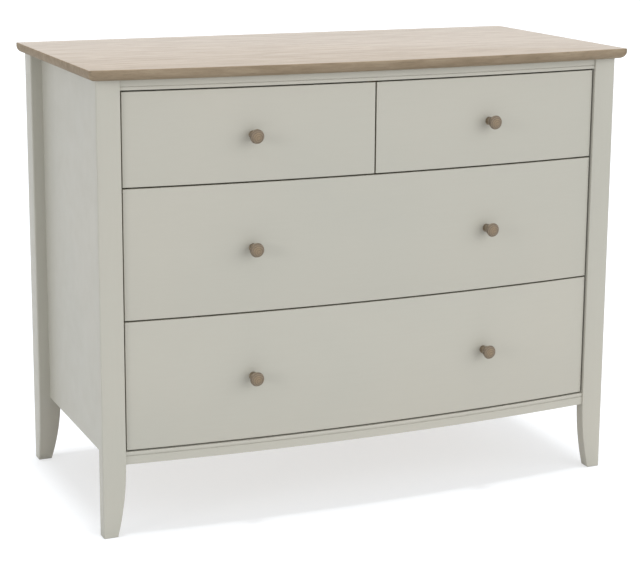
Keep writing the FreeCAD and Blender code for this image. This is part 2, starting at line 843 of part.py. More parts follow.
def screw(drawer, place, name):
    """A pan-head screw from inside the front into a knob, made of a shank and a head."""
    shank = doc.addObject("Part::Cylinder", f"{name}_shank")
    shank.setExpression("Radius", formula("screw_radius"))
    shank.setExpression("Height", formula("screw_bite + front_thickness"))
    head = doc.addObject("Part::Cylinder", f"{name}_head")
    head.setExpression("Radius", formula("screw_head_radius"))
    head.setExpression("Height", formula("screw_head_height"))
    for item, start in ((shank, "-screw_bite"), (head, "front_thickness")):
        item.Placement = FreeCAD.Placement(
            FreeCAD.Vector(), FreeCAD.Rotation(FreeCAD.Vector(1, 0, 0), -90)
        )
        item.setExpression(".Placement.Base.y", formula(start))
    whole = doc.addObject("Part::Fuse", name)
    whole.Base = shank
    whole.Tool = head
    square_to_bow(whole, drawer, place)
    return whole


def knob_screws(drawer):
    """The drawer's knob screws, as one group."""
    label = f"{drawer.label}_knob_screws"
    group = doc.addObject("Part::Compound", label)
    group.Label = label
    group.Links = [
        screw(drawer, place, f"{label}_{index}") for index, place in enumerate(drawer.knobs)
    ]


def whole_drawer(drawer):
    """Every piece of one drawer."""
    drawer_front(drawer)
    for (_, box, outward), name in zip(drawer.ends(), ("side_left", "side_right")):
        drawer_side(drawer, box, outward, name)
    drawer_back(drawer)
    drawer_bottom(drawer)
    names = ("knob",) if len(drawer.knobs) == 1 else ("knob_left", "knob_right")
    for place, name in zip(drawer.knobs, names):
        knob(drawer, place, f"{drawer.label}_{name}")
    knob_screws(drawer)


def case():
    """Every piece of the case."""
    top_panel()
    for side, name in ((-1, "left"), (1, "right")):
        front_leg(f"front_leg_{name}", side)
        rear_leg(f"rear_leg_{name}", side)
        side_panel(f"side_panel_{name}", side)
        cleat(f"top_cleat_{name}", side)
        side_runner(f"top_runner_{name}", side, "top_row", "top_side_height")
        side_runner(f"middle_runner_{name}", side, "middle_row", "deep_side_height")
        side_runner(f"bottom_runner_{name}", side, "bottom_row", "deep_side_height")
        centre_runner(f"centre_runner_{name}", side)
    back_panel()
    front_rail("front_top_rail", "top_rail_bottom", "top_rail_height", True)
    front_rail("front_bottom_rail", "base_height", "bottom_rail_height", False)
    rear_rail("rear_top_rail")
    stub_mortise(rear_rail("rear_middle_rail"), "rear")
    rear_rail("rear_bottom_rail")
    stub_mortise(drawer_rail("upper_drawer_rail", "upper_rail_bottom"), "front")
    drawer_rail("lower_drawer_rail", "lower_rail_bottom")
    partition()


def drawers():
    """The four drawers."""
    wide = ("-front_end", "front_end")
    knobs = ("-top_knob_place", "top_knob_place")
    top_left = Drawer(
        "top_left_drawer", "top_row", "top",
        ("-front_end", "-front_gap / 2"), ("-front_end", "-(partition_side)"), knobs[:1],
    )
    top_right = Drawer(
        "top_right_drawer", "top_row", "top",
        ("front_gap / 2", "front_end"), ("partition_side", "front_end"), knobs[1:],
    )
    middle = Drawer("middle_drawer", "middle_row", "deep", wide, wide, knobs)
    bottom = Drawer("bottom_drawer", "bottom_row", "deep", wide, wide, knobs)
    for drawer in (top_left, top_right, middle, bottom):
        whole_drawer(drawer)


def pieces():
    """The finished pieces: bodies and screw groups."""
    return [o for o in doc.Objects if o.TypeId in ("PartDesign::Body", "Part::Compound")]


def check():
    """Stops if anything in the document failed or a piece has no sound shape."""
    bad = [o.Label for o in doc.Objects if {"Invalid", "Error"} & set(o.State)]
    bad += [o.Label for o in pieces() if o.Shape.isNull() or not o.Shape.isValid()]
    if bad:
        raise RuntimeError(f"failed: {bad}")


def write():
    """Writes each piece to its own file."""
    os.makedirs("parts", exist_ok=True)
    for item in pieces():
        item.Shape.exportStep(f"parts/{item.Label}.step")


fill_sheet()
case()
drawers()
doc.recompute()
check()
write()
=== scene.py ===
"""The finished look of a bow-front chest of drawers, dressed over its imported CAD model.

Metres throughout, in the model's own frame: +X to the right as seen from the front, +Y to the back, +Z up.
The top, the legs, the front rails, the drawer fronts and the knobs are modelled here with softened edges.
The side panels, the back, the inside of the case and the drawers' boxes are the CAD pieces, newly finished.
"""

import math

import bmesh
import bpy
from mathutils import Matrix, Vector

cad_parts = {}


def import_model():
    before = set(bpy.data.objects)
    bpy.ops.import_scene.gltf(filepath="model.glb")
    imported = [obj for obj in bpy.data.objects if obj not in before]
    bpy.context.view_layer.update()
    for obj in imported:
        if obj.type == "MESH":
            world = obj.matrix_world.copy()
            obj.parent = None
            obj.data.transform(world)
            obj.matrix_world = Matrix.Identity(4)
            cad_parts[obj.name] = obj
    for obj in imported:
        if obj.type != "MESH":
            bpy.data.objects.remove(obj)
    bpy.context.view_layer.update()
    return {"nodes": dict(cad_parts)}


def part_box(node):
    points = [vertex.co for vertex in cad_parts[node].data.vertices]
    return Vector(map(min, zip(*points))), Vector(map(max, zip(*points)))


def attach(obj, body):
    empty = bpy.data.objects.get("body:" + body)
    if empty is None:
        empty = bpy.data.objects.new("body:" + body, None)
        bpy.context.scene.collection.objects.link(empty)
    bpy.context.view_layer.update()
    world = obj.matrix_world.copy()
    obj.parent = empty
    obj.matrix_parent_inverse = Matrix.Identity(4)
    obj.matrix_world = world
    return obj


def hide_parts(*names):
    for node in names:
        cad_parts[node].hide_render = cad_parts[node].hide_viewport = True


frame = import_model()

MM = 0.001

# the axes, as places in a vector
X, Y, Z = 0, 1, 2

# how close is the same: for exact edges, for swept faces, for the levels of a leg, and for eased edges
SAME = 0.01 * MM
SWEPT_REACH = 0.02 * MM
LEVEL_REACH = 0.1 * MM
EASED_REACH = 1 * MM

# vertices that lie closer than this are one, in a new piece and in a copy of a CAD piece
WELD = 0.001 * MM
CAD_WELD = 0.005 * MM

# an edge is sharp where its faces turn by more than this, in radians
SHARP = 1.0

# how far a shape that cuts another reaches past it
OVER = 10 * MM

# planes and heights of the case, read from the CAD pieces
FRONT_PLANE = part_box("front_leg_right")[0].y
LEG_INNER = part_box("front_leg_right")[0].x
BASE_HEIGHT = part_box("side_panel_right")[0].z

# the bow of the drawer fronts and rails, as an arc in plan about one upright axis behind the chest
BOW_RISE = 24.7 * MM
FRONT_SETBACK = 5.3 * MM
RAIL_SETBACK = 3 * MM
BOW_RADIUS = (LEG_INNER**2 + BOW_RISE**2) / (2 * BOW_RISE)
BOW_AXIS_Y = FRONT_PLANE + FRONT_SETBACK - BOW_RISE + BOW_RADIUS

# the drawer fronts: the land is the flat strip behind an outer end that the box's side is joined to,
# the facet is how far the swept bow goes at a step, and the spare is how far it is swept past each end
FRONT_THICKNESS = 20 * MM
LAND_WIDTH = 16 * MM
END_TRIM = 0.6 * MM
FACE_ARRIS = 0.8 * MM
FRONT_FACET = 14 * MM
FRONT_SPARE = 3 * MM

# the step cut behind a front's inner end: its clearance from the box's side, and how far the shape that
# cuts it reaches past the end and behind the face
LIP_CLEARANCE = 0.05 * MM
LIP_PAST_END = 2 * MM
LIP_REACH = 100 * MM

# a face of the drawer fronts is an edge where its normal has less than this along Y, and takes the darker
# paint that is painted shade for the gaps
FRONT_FACE_NORMAL = 0.3

# the top board. What lies within TOP_END_TURN of an end, in radians about its bow's axis, belongs to that
# end, and a face whose normal has less than TOP_FACE_NORMAL along Z belongs to its edges or its underside,
# and is darkened as painted shade.
TOP_BOW_RISE = 29.3 * MM
TOP_ROUND = 12.5 * MM
TOP_ARRIS = 1.2 * MM
TOP_FACETS = 56
TOP_SWEPT_DEPTH = 200 * MM
TOP_END_TURN = 0.001
TOP_FACE_NORMAL = 0.9

# the legs, whose eased edges are longer than SHORTEST_UPRIGHT, and the rear legs' rebates for the back
FOOT_WIDTH = 25 * MM
FOOT_CHAMFER = 1.2 * MM
TAPER_STEPS = 10
LEG_ARRIS = 2.5 * MM
INNER_ARRIS = 0.6 * MM
SHORTEST_UPRIGHT = 3 * MM
REBATE_DEPTH = 6 * MM
REBATE_WIDTH = 10 * MM

# the rails and their beads
RAIL_SWEPT_DEPTH = 15 * MM
RAIL_FACETS = 72
RAIL_SPARE = 4 * MM
BEAD_HEIGHT = 6 * MM
QUIRK = 1.3 * MM
BEAD_ROUND = 1.1 * MM

# the knobs: radii, and heights above the drawer front. The rim's round goes through these angles, in
# degrees, and the dome is drawn at these shares of its radius.
KNOB_HEIGHT = 26 * MM
KNOB_FOOT = 7.25 * MM
KNOB_NECK = 6.9 * MM
KNOB_RIM = 12.4 * MM
KNOB_SIDES = 64
FOOT_EASE = 0.4 * MM
FLARE_START = 1.8 * MM
FLARE_POWER = 1.6
FLARE_STEPS = 10
RIM_HEIGHT = 22.6 * MM
RIM_ROUND = 2.2 * MM
RIM_ANGLES = range(-23, 76, 14)
DOME_SHARES = (0.75, 0.5, 0.25)

# the hole for a knob's screw, by its radius and depth, and the bar that cuts it through the drawer front
SCREW_HOLE = 2.25 * MM
SCREW_DEPTH = 16 * MM
BORE_SIDES = 32
BORE_LENGTH = 80 * MM

# faces that turn by less than this shade as one, in degrees
SMOOTH_ANGLE = 35
KNOB_SMOOTH_ANGLE = 50

# faces of the top that turn by less than this become one, in degrees
FLAT_ANGLE = 0.1

# how far the knobs stand from the middle of the chest, and where each drawer's knobs stand across it
KNOB_PLACE = 223.85 * MM
KNOBS = {
    "top_left_drawer": {"knob": -KNOB_PLACE},
    "top_right_drawer": {"knob": KNOB_PLACE},
    "middle_drawer": {"knob_left": -KNOB_PLACE, "knob_right": KNOB_PLACE},
    "bottom_drawer": {"knob_left": -KNOB_PLACE, "knob_right": KNOB_PLACE},
}


# Selecting and shaping


def alone(piece):
    """Makes the piece the only one that is selected, and active."""
    bpy.ops.object.select_all(action="DESELECT")
    piece.select_set(True)
    bpy.context.view_layer.objects.active = piece


def edit(piece):
    """Goes into edit mode on the piece with everything selected."""
    alone(piece)
    bpy.ops.object.mode_set(mode="EDIT")
    bpy.ops.mesh.select_all(action="SELECT")


def done():
    """Back to object mode."""
    bpy.ops.object.mode_set(mode="OBJECT")


def pick(kind, wanted):
    """Selects, in edit mode, just the vertices, edges or faces that pass a test."""
    bpy.ops.mesh.select_mode(type=kind)
    bpy.ops.mesh.select_all(action="DESELECT")
    mesh = bpy.context.object.data
    shape = bmesh.from_edit_mesh(mesh)
    for element in {"VERT": shape.verts, "EDGE": shape.edges, "FACE": shape.faces}[kind]:
        if wanted(element):
            element.select_set(True)
    bmesh.update_edit_mesh(mesh)


def near(a, b, reach=SAME):
    """Whether two lengths are the same."""
    return abs(a - b) < reach


def in_plane(edge, axis, place):
    """Whether both ends of an edge lie in the plane at a place along an axis."""
    return all(near(v.co[axis], place) for v in edge.verts)


def from_axis(point, axis_y=BOW_AXIS_Y):
    """How far a point lies from the bow's upright axis."""
    return math.hypot(point.x, point.y - axis_y)


def along(axis, length):
    """A vector of this length along an axis."""
    vector = Vector((0, 0, 0))
    vector[axis] = length
    return vector


def flatten(axis, place):
    """Presses what is selected flat against the plane at a place along an axis."""
    factors = Vector((1, 1, 1)) - along(axis, 1)
    bpy.ops.transform.resize(value=factors, center_override=along(axis, place))


def extrude(move):
    """Extrudes what is selected."""
    bpy.ops.mesh.extrude_region_move(TRANSFORM_OT_translate={"value": move})


def bevel(width, segments):
    """Bevels the selected edges."""
    bpy.ops.mesh.bevel(offset=width, segments=segments, affect="EDGES", clamp_overlap=True)


def cut_off(axis, place, outward):
    """Cuts everything past a plane away and closes the cut."""
    bpy.ops.mesh.select_all(action="SELECT")
    bpy.ops.mesh.bisect(
        plane_co=along(axis, place), plane_no=along(axis, outward), use_fill=True, clear_outer=True
    )


def score(axis, place):
    """Adds a loop of edges all round where a plane crosses the piece."""
    bpy.ops.mesh.select_all(action="SELECT")
    bpy.ops.mesh.bisect(plane_co=along(axis, place), plane_no=along(axis, 1))


def settle(piece):
    """Applies a piece's place, turn and size to its mesh."""
    alone(piece)
    bpy.ops.object.transform_apply(location=True, rotation=True, scale=True)


def board(name, low, high):
    """A squared board between two opposite corners, to be shaped."""
    low, high = Vector(map(min, low, high)), Vector(map(max, low, high))
    bpy.ops.object.select_all(action="DESELECT")
    bpy.ops.mesh.primitive_cube_add(size=1, location=(low + high) / 2, scale=high - low)
    piece = bpy.context.object
    piece.name = name
    settle(piece)
    return piece


def section(name, front, rear, bottom, top):
    """A flat upright section on the middle plane, to be shaped and then swept along a bow."""
    bpy.ops.object.select_all(action="DESELECT")
    bpy.ops.mesh.primitive_plane_add(
        size=1, location=(0, (front + rear) / 2, (bottom + top) / 2), rotation=(0, math.pi / 2, 0)
    )
    piece = bpy.context.object
    piece.name = name
    piece.scale = (top - bottom, rear - front, 1)
    settle(piece)
    return piece


def sweep(piece, start, end, facets, radius=BOW_RADIUS, axis_y=BOW_AXIS_Y):
    """Sweeps a section along a bow, from one place across the chest to another."""
    pivot = Vector((0, axis_y, 0))
    first = math.asin(start / radius)
    last = math.asin(end / radius)
    turn = Matrix.Rotation(first, 4, "Z")
    piece.matrix_world = Matrix.Translation(pivot) @ turn @ Matrix.Translation(-pivot)
    settle(piece)
    edit(piece)
    bpy.ops.mesh.spin(steps=facets, angle=first - last, center=pivot, axis=(0, 0, 1))
    bpy.ops.mesh.select_all(action="SELECT")
    bpy.ops.mesh.remove_doubles(threshold=WELD)
    bpy.ops.mesh.normals_make_consistent(inside=False)
    done()


def cut_with(piece, cutter):
    """Cuts another shape out of the piece, and throws that shape away."""
    modifier = piece.modifiers.new("joint", "BOOLEAN")
    modifier.operation = "DIFFERENCE"
    modifier.solver = "EXACT"
    modifier.object = cutter
    alone(piece)
    bpy.ops.object.modifier_apply(modifier=modifier.name)
    bpy.data.objects.remove(cutter)


def welded_copy(node):
    """A copy of a CAD piece with its loose triangles joined, to cut a joint with."""
    cutter = frame["nodes"][node].copy()
    cutter.data = cutter.data.copy()
    bpy.context.scene.collection.objects.link(cutter)
    edit(cutter)
    bpy.ops.mesh.remove_doubles(threshold=CAD_WELD)
    done()
    return cutter


def finish_piece(
    piece, node, body, finish, smooth=SMOOTH_ANGLE, edge_shade_finish=None, is_shaded_edge=None
):
    """Smooths a new piece, gives it its finishes, and puts it in the place of its CAD node."""
    edit(piece)
    bpy.ops.mesh.remove_doubles(threshold=WELD)
    bpy.ops.mesh.normals_make_consistent(inside=False)
    done()
    bpy.ops.object.shade_smooth_by_angle(angle=math.radians(smooth))
    # a face that a CAD cutter left keeps the number of the cutter's material, so all start with the first
    piece.data.materials.clear()
    piece.data.materials.append(finish)
    for face in piece.data.polygons:
        face.material_index = 0
    # faces that pass the test take a second, darker finish: painted shade on the edges
    if edge_shade_finish:
        piece.data.materials.append(edge_shade_finish)
        edit(piece)
        pick("FACE", is_shaded_edge)
        piece.active_material_index = 1
        bpy.ops.object.material_slot_assign()
        done()
    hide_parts(node)
    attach(piece, body)


# Finishes


class Finish:
    """One material, with short calls for adding its nodes and joining them."""

    def __init__(self, name, base, roughness):
        self.material = bpy.data.materials.new(name)
        self.material.use_nodes = True
        self.tree = self.material.node_tree
        self.shader = self.tree.nodes["Principled BSDF"]
        self.shader.inputs["Roughness"].default_value = roughness
        self.shader.inputs["Base Color"].default_value = (*linear(base), 1)
        coordinates = self.tree.nodes.new("ShaderNodeTexCoord")
        self.place = coordinates.outputs["Object"]

    def join(self, source, target):
        """Joins one node's output to another's input."""
        self.tree.links.new(source, target)

    def mapped(self, scale, centre=(0, 0, 0)):
        """Object coordinates scaled about a centre, so that a pattern runs with the piece."""
        mapping = self.tree.nodes.new("ShaderNodeMapping")
        mapping.inputs["Location"].default_value = [-c * share for c, share in zip(centre, scale)]
        mapping.inputs["Scale"].default_value = scale
        self.join(self.place, mapping.inputs["Vector"])
        return mapping.outputs["Vector"]

    def noise(self, vector, scale, detail=2.0, roughness=0.5, distortion=0.0):
        """A cloudy pattern, with about as many clouds to the metre as its scale."""
        texture = self.tree.nodes.new("ShaderNodeTexNoise")
        texture.inputs["Scale"].default_value = scale
        texture.inputs["Detail"].default_value = detail
        texture.inputs["Roughness"].default_value = roughness
        texture.inputs["Distortion"].default_value = distortion
        self.join(vector, texture.inputs["Vector"])
        return texture.outputs["Fac"]

    def rings(self, vector, scale, distortion):
        """Growth rings round an axis that runs fore and aft."""
        texture = self.tree.nodes.new("ShaderNodeTexWave")
        texture.wave_type = "RINGS"
        texture.rings_direction = "Y"
        texture.inputs["Scale"].default_value = scale
        texture.inputs["Distortion"].default_value = distortion
        texture.inputs["Detail"].default_value = 3
        texture.inputs["Detail Scale"].default_value = 1.2
        self.join(vector, texture.inputs["Vector"])
        return texture.outputs["Fac"]

    def number(self, operation, value, *others):
        """A sum on one number of a pattern."""
        step = self.tree.nodes.new("ShaderNodeMath")
        step.operation = operation
        self.join(value, step.inputs[0])
        for other, socket in zip(others, step.inputs[1:]):
            socket.default_value = other
        return step.outputs["Value"]

    def staves(self, width):
        """A level of its own for each stave across the board, and how near a seam between two is."""
        split = self.tree.nodes.new("ShaderNodeSeparateXYZ")
        self.join(self.place, split.inputs["Vector"])
        count = self.number("MULTIPLY", split.outputs["Y"], 1 / width)
        own = self.tree.nodes.new("ShaderNodeTexWhiteNoise")
        own.noise_dimensions = "1D"
        self.join(self.number("FLOOR", count), own.inputs["W"])
        return own.outputs["Value"], self.number("PINGPONG", count, 0.5)

    def shifted(self, vector, level):
        """Coordinates moved by a level, so that each stave shows another part of the pattern."""
        shift = self.tree.nodes.new("ShaderNodeVectorMath")
        shift.operation = "MULTIPLY_ADD"
        shift.inputs[1].default_value = STAVE_SHIFT
        self.join(level, shift.inputs[0])
        self.join(vector, shift.inputs[2])
        return shift.outputs["Vector"]

    def glow(self, vector):
        """A level that falls evenly from 1 in the middle to 0 at a distance of 1."""
        texture = self.tree.nodes.new("ShaderNodeTexGradient")
        texture.gradient_type = "SPHERICAL"
        self.join(vector, texture.inputs["Vector"])
        return texture.outputs["Fac"]

    def ramp(self, factor, stops):
        """A colour or a grey level for each level of a pattern."""
        ramp = self.tree.nodes.new("ShaderNodeValToRGB")
        elements = ramp.color_ramp.elements
        while len(elements) < len(stops):
            elements.new(1)
        for element, (level, colour) in zip(elements, stops):
            levels = linear(colour) if isinstance(colour, tuple) else (colour, colour, colour)
            element.position = level
            element.color = (*levels, 1)
        self.join(factor, ramp.inputs["Fac"])
        return ramp.outputs["Color"]

    def mix(self, first, second, share, blend="MIX"):
        """Two colours mixed. The share is a number or a pattern."""
        mix = self.tree.nodes.new("ShaderNodeMix")
        mix.data_type = "RGBA"
        mix.blend_type = blend
        if isinstance(share, float):
            mix.inputs["Factor"].default_value = share
        else:
            self.join(share, mix.inputs["Factor"])
        for source, target in ((first, mix.inputs["A"]), (second, mix.inputs["B"])):
            if isinstance(source, tuple):
                target.default_value = (*linear(source), 1)
            else:
                self.join(source, target)
        return mix.outputs["Result"]

    def spread(self, factor, low, high):
        """A pattern's levels spread from low to high."""
        spread = self.tree.nodes.new("ShaderNodeMapRange")
        spread.inputs["From Min"].default_value = PATTERN_LOW
        spread.inputs["From Max"].default_value = PATTERN_HIGH
        spread.inputs["To Min"].default_value = low
        spread.inputs["To Max"].default_value = high
        self.join(factor, spread.inputs["Value"])
        return spread.outputs["Result"]

    def relief(self, heights):
        """Bumps, one on another. Each is a pattern, its depth in metres and its strength."""
        normal = None
        for factor, depth, strength in heights:
            bump = self.tree.nodes.new("ShaderNodeBump")
            bump.inputs["Strength"].default_value = strength
            bump.inputs["Distance"].default_value = depth
            self.join(factor, bump.inputs["Height"])
            if normal is not None:
                self.join(normal, bump.inputs["Normal"])
            normal = bump.outputs["Normal"]
        self.join(normal, self.shader.inputs["Normal"])

    def colour(self, source):
        """Gives the shader its colour from a pattern."""
        self.join(source, self.shader.inputs["Base Color"])

    def roughness(self, source):
        """Gives the shader its roughness from a pattern."""
        self.join(source, self.shader.inputs["Roughness"])


def linear(colour):
    """An 8-bit sRGB colour as linear levels."""
    return tuple(
        v / 12.92 if v <= 0.04045 else ((v + 0.055) / 1.055) ** 2.4 for v in (c / 255 for c in colour)
    )


# how a pattern is stretched along the grain, in long wood by the axis that it runs along, in the top's
# figure and in a knob
GRAIN = {"X": (0.05, 1, 1), "Y": (1, 0.05, 1), "Z": (1, 1, 0.05)}
SHORT_GRAIN = (0.12, 1, 1)
KNOB_GRAIN = (1, 0.1, 1)

# most of a pattern's levels lie between these
PATTERN_LOW = 0.25
PATTERN_HIGH = 0.75

# the top's staves, and how far the pattern of one can lie from another's
STAVE_WIDTH = 112 * MM
STAVE_SHIFT = (7.3, 3.1, 5.9)

# how far the heart of a knob's growth rings lies from its middle, and the stretch of its face's pale middle,
# a painted highlight that fades to painted shade at the rim, which is 15 mm in radius and as good as endless
# fore and aft
KNOB_HEART = Vector((2 * MM, 0, -3 * MM))
KNOB_GLOW = (1 / (15 * MM), 0.001, 1 / (15 * MM))

# 8-bit sRGB colours
PAINT = (188, 186, 175)
PAINT_COOL = (185, 184, 174)
PAINT_WARM = (190, 187, 176)
BRUSHED_DARK = (184, 182, 171)
BRUSHED_LIGHT = (191, 189, 179)
# the drawer fronts' edge paint, darker than the faces as painted shade for the gaps
PAINTED_GAP_SHADE = (152, 149, 132)
PAINTED_GAP_SHADE_DARK = (146, 143, 126)
PAINTED_GAP_SHADE_LIGHT = (157, 154, 138)
OAK = (158, 142, 124)
OAK_DARK = (134, 118, 98)
OAK_PALE = (181, 166, 148)
STAVE_DARK = (153, 138, 120)
STAVE_MIDDLE = (158, 142, 123)
STAVE_LIGHT = (164, 149, 131)
# multiplied onto the top's oak: nothing on its upper face, and on its edges and underside a darker colour
# that is painted shade
NO_PAINTED_SHADE = (255, 255, 255)
EDGE_PAINTED_SHADE = (232, 229, 218)
RING_DARK = (98, 84, 68)
RING_MIDDLE = (122, 107, 88)
RING_LIGHT = (145, 129, 107)
# a knob face's painted shade at the rim, halfway, and painted highlight in the middle
FACE_RIM_PAINTED_SHADE = (98, 89, 77)
FACE_HALFWAY_PAINTED_SHADE = (120, 107, 90)
FACE_MIDDLE_PAINTED_HIGHLIGHT = (145, 125, 98)
PINE = (205, 180, 142)
PINE_DARK = (190, 160, 118)
DRAWER_WOOD = (214, 190, 152)
DRAWER_WOOD_DARK = (200, 171, 129)
BOARD_GREY = (168, 165, 155)
BOARD_DARK = (163, 160, 150)
BOARD_LIGHT = (172, 169, 159)
ZINC = (186, 188, 190)
ZINC_DARK = (172, 174, 178)
ZINC_LIGHT = (198, 199, 200)


def satin_paint(name, grain):
    """Grey-green satin paint, brushed along the grain over wood that hardly shows through."""
    finish = Finish(name, PAINT, roughness=0.42)
    cloud = finish.noise(finish.place, 2.4, detail=3)
    tone = finish.ramp(cloud, [(0.3, PAINT_COOL), (0.7, PAINT_WARM)])
    strokes = finish.noise(finish.mapped(GRAIN[grain]), 260, detail=4, roughness=0.6)
    streak = finish.ramp(strokes, [(0.3, BRUSHED_DARK), (0.7, BRUSHED_LIGHT)])
    finish.colour(finish.mix(tone, streak, 0.15))
    finish.roughness(finish.spread(finish.noise(finish.place, 35, detail=3), 0.37, 0.48))
    peel = finish.noise(finish.place, 700, detail=1)
    finish.relief([(strokes, 0.06 * MM, 0.25), (peel, 0.05 * MM, 0.3)])
    return finish.material


def washed_oak(name, painted_shade, roughness, coat):
    """The top's oak: glued staves, each with figure, streaks and pores of its own, times a colour that is
    painted shade on the edges' copy.
    """
    finish = Finish(name, OAK, roughness)
    finish.shader.inputs["Coat Weight"].default_value = coat
    finish.shader.inputs["Coat Roughness"].default_value = 0.25
    stave, seam = finish.staves(STAVE_WIDTH)
    long = finish.shifted(finish.mapped(GRAIN["X"]), stave)
    short = finish.shifted(finish.mapped(SHORT_GRAIN), stave)
    figure = finish.noise(short, 85, detail=8, roughness=0.75, distortion=0.3)
    tone = finish.ramp(figure, [(0.38, OAK_DARK), (0.5, OAK), (0.62, OAK_PALE)])
    broad = finish.noise(long, 9, detail=4, roughness=0.6, distortion=1.2)
    wide = finish.ramp(broad, [(0.3, OAK_DARK), (0.5, OAK), (0.7, OAK_PALE)])
    tone = finish.mix(tone, wide, 0.35)
    tint = finish.ramp(stave, [(0.0, STAVE_DARK), (0.5, STAVE_MIDDLE), (1.0, STAVE_LIGHT)])
    tone = finish.mix(tone, tint, 0.3)
    pores = finish.noise(long, 620, detail=2, roughness=0.7)
    specks = finish.ramp(pores, [(0.33, 0.62), (0.43, 1.0)])
    tone = finish.mix(tone, specks, 0.45, blend="MULTIPLY")
    joint = finish.ramp(seam, [(0.0, 0.7), (0.004, 1.0)])
    tone = finish.mix(tone, joint, 0.6, blend="MULTIPLY")
    # the multiply darkens the edges' copy of the oak: painted shade
    finish.colour(finish.mix(tone, painted_shade, 1.0, blend="MULTIPLY"))
    finish.roughness(finish.spread(figure, roughness + 0.05, roughness - 0.05))
    finish.relief([(figure, 0.12 * MM, 0.25), (pores, 0.1 * MM, 0.3)])
    return finish.material


def turned_oak(name, centre):
    """A knob's oak: end grain on the face, with growth rings round a heart near its middle, and a painted
    highlight in the middle of the face that darkens to painted shade at its rim.
    """
    finish = Finish(name, OAK, roughness=0.42)
    end_grain = finish.mapped(KNOB_GRAIN, centre + KNOB_HEART)
    rings = finish.rings(end_grain, 90, distortion=1.5)
    tone = finish.ramp(rings, [(0.0, RING_DARK), (0.5, RING_MIDDLE), (1.0, RING_LIGHT)])
    # painted highlight in the middle of the knob's face, fading to painted shade toward its rim
    middle = finish.glow(finish.mapped(KNOB_GLOW, centre))
    shade = finish.ramp(middle, [(0.1, FACE_RIM_PAINTED_SHADE), (0.35, FACE_HALFWAY_PAINTED_SHADE), (0.7, FACE_MIDDLE_PAINTED_HIGHLIGHT)])
    tone = finish.mix(tone, shade, 0.5)
    pores = finish.noise(end_grain, 640, detail=3, roughness=0.6)
    specks = finish.ramp(pores, [(0.36, 0.6), (0.5, 1.0), (0.62, 1.0)])
    finish.colour(finish.mix(tone, specks, 0.7, blend="MULTIPLY"))
    finish.roughness(finish.spread(rings, 0.48, 0.38))
    finish.relief([(rings, 0.05 * MM, 0.3), (pores, 0.06 * MM, 0.3)])
    return finish.material


def painted_gap_shade():
    """The drawer fronts' edge paint, darker and more matt than the faces: the darkness is painted shade for
    the gaps between the fronts.
    """
    finish = Finish("painted_gap_shade_on_edges", PAINTED_GAP_SHADE, roughness=0.6)
    cloud = finish.noise(finish.place, 60, detail=4)
    finish.colour(finish.ramp(cloud, [(0.3, PAINTED_GAP_SHADE_DARK), (0.7, PAINTED_GAP_SHADE_LIGHT)]))
    finish.roughness(finish.spread(cloud, 0.54, 0.66))
    finish.relief([(cloud, 0.1 * MM, 0.3)])
    return finish.material


def plain_wood(name, light, dark, grain, roughness):
    """Sawn or planed wood with long figure along the grain."""
    finish = Finish(name, light, roughness)
    long = finish.mapped(GRAIN[grain])
    figure = finish.noise(long, 34, detail=6, roughness=0.6, distortion=0.5)
    tone = finish.ramp(figure, [(0.3, dark), (0.55, light), (0.8, light)])
    fine = finish.noise(long, 430, detail=2, roughness=0.65)
    specks = finish.ramp(fine, [(0.34, 0.8), (0.46, 1.0)])
    finish.colour(finish.mix(tone, specks, 0.5, blend="MULTIPLY"))
    finish.roughness(finish.spread(figure, roughness + 0.06, roughness - 0.05))
    finish.relief([(figure, 0.15 * MM, 0.25), (fine, 0.1 * MM, 0.3)])
    return finish.material


def back_paint():
    """The back's thin board: grey, matt, with the fine texture of pressed fibre."""
    finish = Finish("back_board_grey", BOARD_GREY, roughness=0.72)
    cloud = finish.noise(finish.place, 4.0, detail=4)
    fibre = finish.noise(finish.place, 380, detail=3, roughness=0.7)
    tone = finish.ramp(cloud, [(0.3, BOARD_DARK), (0.7, BOARD_LIGHT)])
    specks = finish.ramp(fibre, [(0.35, 0.9), (0.5, 1.0)])
    finish.colour(finish.mix(tone, specks, 0.8, blend="MULTIPLY"))
    finish.roughness(finish.spread(fibre, 0.66, 0.78))
    finish.relief([(fibre, 0.1 * MM, 0.5)])
    return finish.material


def zinc():
    """The screws' zinc plating."""
    finish = Finish("zinc_plate", ZINC, roughness=0.34)
    finish.shader.inputs["Metallic"].default_value = 1
    spangle = finish.noise(finish.place, 600, detail=3)
    finish.colour(finish.ramp(spangle, [(0.3, ZINC_DARK), (0.7, ZINC_LIGHT)]))
    finish.roughness(finish.spread(spangle, 0.28, 0.42))
    finish.relief([(spangle, 0.03 * MM, 0.3)])
    return finish.material


# Pieces of the case


